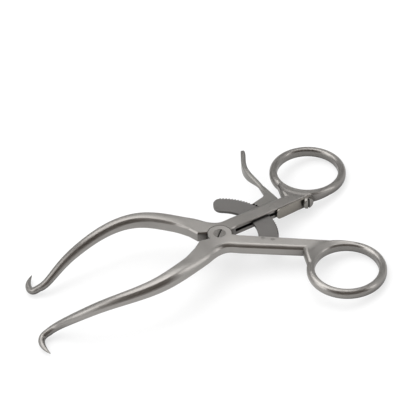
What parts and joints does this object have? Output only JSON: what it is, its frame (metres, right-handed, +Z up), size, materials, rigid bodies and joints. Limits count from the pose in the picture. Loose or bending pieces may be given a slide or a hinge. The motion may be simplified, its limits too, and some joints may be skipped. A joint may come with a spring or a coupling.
{
  "type": "self retaining retractor",
  "caption": "Self retaining retractor: two ringed arms on a screw joint spread outward hooks and are held open by a toothed arc and a sprung pawl lever.",
  "frame": {"origin": "at table level under the middle of the overall box, with the retractor lying on its rings and hooks", "axes": "+X from the hooks to the finger rings, +Y to the side of the arm with the release lever, +Z up; the joint screw leans 10 degrees from +Z towards +X"},
  "size_m": [0.1461, 0.0998, 0.02],
  "materials": {
    "forged_steel": "satin stainless steel, glass beaded and lightly brushed",
    "plate_steel": "matt stainless plate, darker than the forgings",
    "spring_steel": "semi bright spring strip",
    "screw_steel": "satin turned steel"
  },
  "bodies": {
    "lower": {"lower_arm": "forged_steel", "ratchet_bar": "plate_steel", "ratchet_rivets": "screw_steel", "pivot_screw": "screw_steel"},
    "upper": {"upper_arm": "forged_steel", "lever_pin": "screw_steel", "leaf_spring": "spring_steel", "spring_screw": "screw_steel"},
    "lever": {"release_lever": "plate_steel"}
  },
  "joints": [
    {"name": "main_hinge", "type": "hinge", "parent": "lower", "child": "upper", "pos_m": [0.01148, -0.00121, 0.01287], "axis": [0.1774, 0, 0.9841], "range_deg": [-31, 17]},
    {"name": "lever_hinge", "type": "hinge", "parent": "upper", "child": "lever", "pos_m": [0.03642, 0.01008, 0.00873], "axis": [-0.1774, 0, -0.9841], "range_deg": [0, 7], "stiffness_Nm_per_rad": 0.05, "springref_deg": -5.73, "deforming": ["leaf_spring"]}
  ]
}
